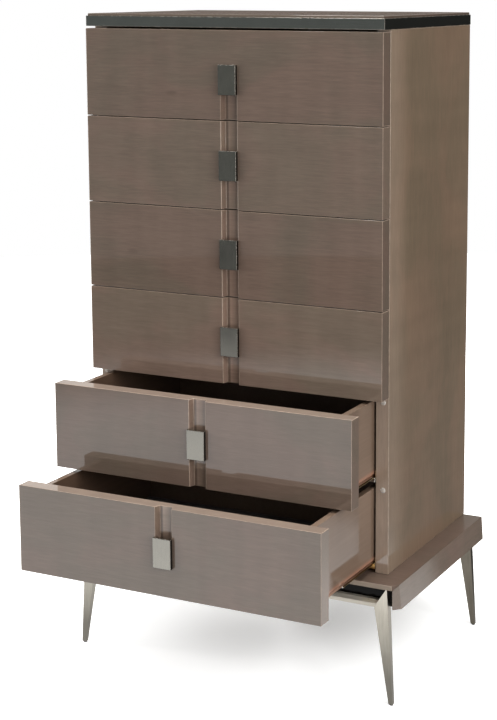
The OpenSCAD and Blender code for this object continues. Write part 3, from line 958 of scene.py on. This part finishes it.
def floor_shine(graph, right, rear, reach):
    """How bright the floor is in mirror-like rays: dim far away and in the corner behind the right
    side, where a brighter patch lies beside the chest."""
    near = graph.step(reach, *SHINE_FADE)
    dim = graph.between(graph.step(rear, *CORNER_REAR), CORNER_NEAR_DIM, 1.0)
    dim = graph.times(graph.step(right, *CORNER_RIGHT), dim)
    slant = graph.math("SUBTRACT", right, graph.times(rear, PATCH_SLANT))
    patch = graph.times(graph.step(slant, *PATCH_SIDE), graph.step(rear, *PATCH_REAR), PATCH_SHARE)
    dim = graph.times(dim, graph.inverse(patch))
    return graph.times(near, graph.inverse(dim))


def add_floor():
    """A white floor that keeps the chest's shadow and whose shine fades far from the chest."""
    mesh = bpy.data.meshes.new("floor")
    ring = bmesh.new()
    bmesh.ops.create_circle(ring, cap_ends=True, radius=FLOOR_RADIUS, segments=FLOOR_SIDES)
    ring.to_mesh(mesh)
    ring.free()
    floor = bpy.data.objects.new("floor", mesh)
    bpy.context.scene.collection.objects.link(floor)
    material = bpy.data.materials.new("floor_white")
    material.use_nodes = True
    graph = Graph(material.node_tree)
    material.node_tree.nodes.clear()
    output = graph.add("ShaderNodeOutputMaterial")
    rays = graph.add("ShaderNodeLightPath")
    mirrored = rays.outputs["Is Glossy Ray"]
    seen = graph.seen(rays)
    position = graph.place()
    right, rear, _ = graph.split(position)
    reach = graph.length(position)
    lit = floor_shine(graph, right, rear, reach)
    shine = graph.times(mirrored, lit, FLOOR_GLOW_SHINE)
    glow = graph.math("ADD", graph.times(floor_glow(graph, reach), seen), shine)
    dark = graph.times(mirrored, graph.inverse(lit))
    albedo = graph.between(dark, FLOOR_ALBEDO, FLOOR_DARK_ALBEDO)
    albedo = graph.between(seen, albedo, FLOOR_SEEN_ALBEDO)
    diffuse = graph.add("ShaderNodeBsdfDiffuse", {"Color": albedo}).outputs[0]
    light = graph.add("ShaderNodeEmission", {"Strength": glow}).outputs[0]
    total = graph.add("ShaderNodeAddShader", {0: diffuse, 1: light}).outputs[0]
    graph.feed(output.inputs["Surface"], total)
    mesh.materials.append(material)


# Stage: world

# Light from the front, the rear, over the rear, the right rear corner, both sides and above
ROOM_FRONT = (0.185, 0.195, 0.19, 1.0)
ROOM_BACK = (0.07, 0.058, 0.053, 1.0)
ROOM_HAZE = (0.85, 0.83, 0.8, 1.0)
ROOM_CORNER = (0.033, 0.033, 0.031, 1.0)
ROOM_SIDES = (1.3, 1.28, 1.22, 1.0)
ROOM_CEILING = (0.4, 0.4, 0.39, 1.0)
ROOM_SEEN = (1.0, 1.0, 1.0, 1.0)
# Directions over which each begins: X to the right, Y to the rear and Z up
BACK_REAR = (-0.3, 0.3)
HAZE_UP = (0.1, 0.27)
CORNER_LOOK_RIGHT = (-0.1, 0.35)
CORNER_LOOK_REAR = (-0.2, 0.4)
SIDES_ASIDE = (0.6, 0.85)
SIDES_FRONT = (0.05, -0.1)
CEILING_UP = (0.35, 0.85)


def add_world():
    """White behind the object for the camera, and a dim studio for every other ray."""
    world = bpy.data.worlds.new("studio")
    bpy.context.scene.world = world
    world.use_nodes = True
    graph = Graph(world.node_tree)
    world.node_tree.nodes.clear()
    right, rear, up = graph.split(graph.add("ShaderNodeTexCoord").outputs["Generated"])
    back = graph.step(rear, *BACK_REAR)
    haze = graph.times(back, graph.step(up, *HAZE_UP))
    corner = graph.times(graph.step(right, *CORNER_LOOK_RIGHT), graph.step(rear, *CORNER_LOOK_REAR))
    sides = graph.times(graph.step(graph.size(right), *SIDES_ASIDE), graph.step(rear, *SIDES_FRONT))
    room = graph.mix(back, ROOM_FRONT, ROOM_BACK)
    room = graph.mix(haze, room, ROOM_HAZE)
    room = graph.mix(corner, room, ROOM_CORNER)
    room = graph.mix(sides, room, ROOM_SIDES)
    room = graph.mix(graph.step(up, *CEILING_UP), room, ROOM_CEILING)
    seen = graph.seen(graph.add("ShaderNodeLightPath"))
    colour = graph.mix(seen, room, ROOM_SEEN)
    background = graph.add("ShaderNodeBackground", {"Color": colour, "Strength": 1.0}).outputs[0]
    output = graph.add("ShaderNodeOutputWorld")
    graph.feed(output.inputs["Surface"], background)


# Stage: lamps and camera

def add_softbox(name, place, target, width, height, watts, mirrored=True):
    """A rectangular lamp. One that is not mirrored lights the object but does not show in its gloss."""
    light = bpy.data.lights.new(name, "AREA")
    light.shape = "RECTANGLE"
    light.size = width
    light.size_y = height
    light.energy = watts
    lamp = bpy.data.objects.new(name, light)
    lamp.visible_glossy = mirrored
    lamp.location = place
    aim = Vector(target) - Vector(place)
    lamp.rotation_mode = "QUATERNION"
    lamp.rotation_quaternion = aim.to_track_quat("-Z", "Y")
    bpy.context.scene.collection.objects.link(lamp)


def add_camera():
    """The camera, turned by its yaw and pitch from a level look toward +Y."""
    data = bpy.data.cameras.new("camera")
    data.sensor_fit = "AUTO"
    data.sensor_width = CAMERA_SENSOR
    data.lens = CAMERA_LENS
    data.shift_x, data.shift_y = CAMERA_SHIFT
    camera = bpy.data.objects.new("camera", data)
    camera.location = CAMERA_PLACE
    back = Vector((
        math.sin(CAMERA_YAW) * math.cos(CAMERA_PITCH),
        -math.cos(CAMERA_YAW) * math.cos(CAMERA_PITCH),
        math.sin(CAMERA_PITCH),
    ))
    camera.rotation_mode = "QUATERNION"
    camera.rotation_quaternion = (-back).to_track_quat("-Z", "Y")
    bpy.context.scene.collection.objects.link(camera)
    bpy.context.scene.camera = camera


add_floor()
add_world()
add_softbox("overhead", (0.0, -0.3, 4.4), (0.0, -0.3, 0.6), width=2.6, height=1.2, watts=220)
add_softbox("left", (-3.6, -1.8, 1.5), (0, 0, 0.8), width=1.8, height=1.8, watts=42, mirrored=False)
add_softbox("right", (3.6, -1.15, 1.6), (0, 0, 0.8), width=1.6, height=1.6, watts=84, mirrored=False)
add_softbox("rear", (-0.3, 3.6, 0.95), (0, 0.4, 0.85), width=1.1, height=1.3, watts=50, mirrored=False)
add_softbox("strip_right", (2.6, -2.4, 1.0), (0, 0, 0.8), width=0.35, height=2.0, watts=14)
add_softbox("strip_left", (-3.2, -0.9, 1.2), (0, 0, 0.8), width=0.35, height=2.0, watts=12)
add_camera()
bpy.context.scene.view_settings.view_transform = "Standard"
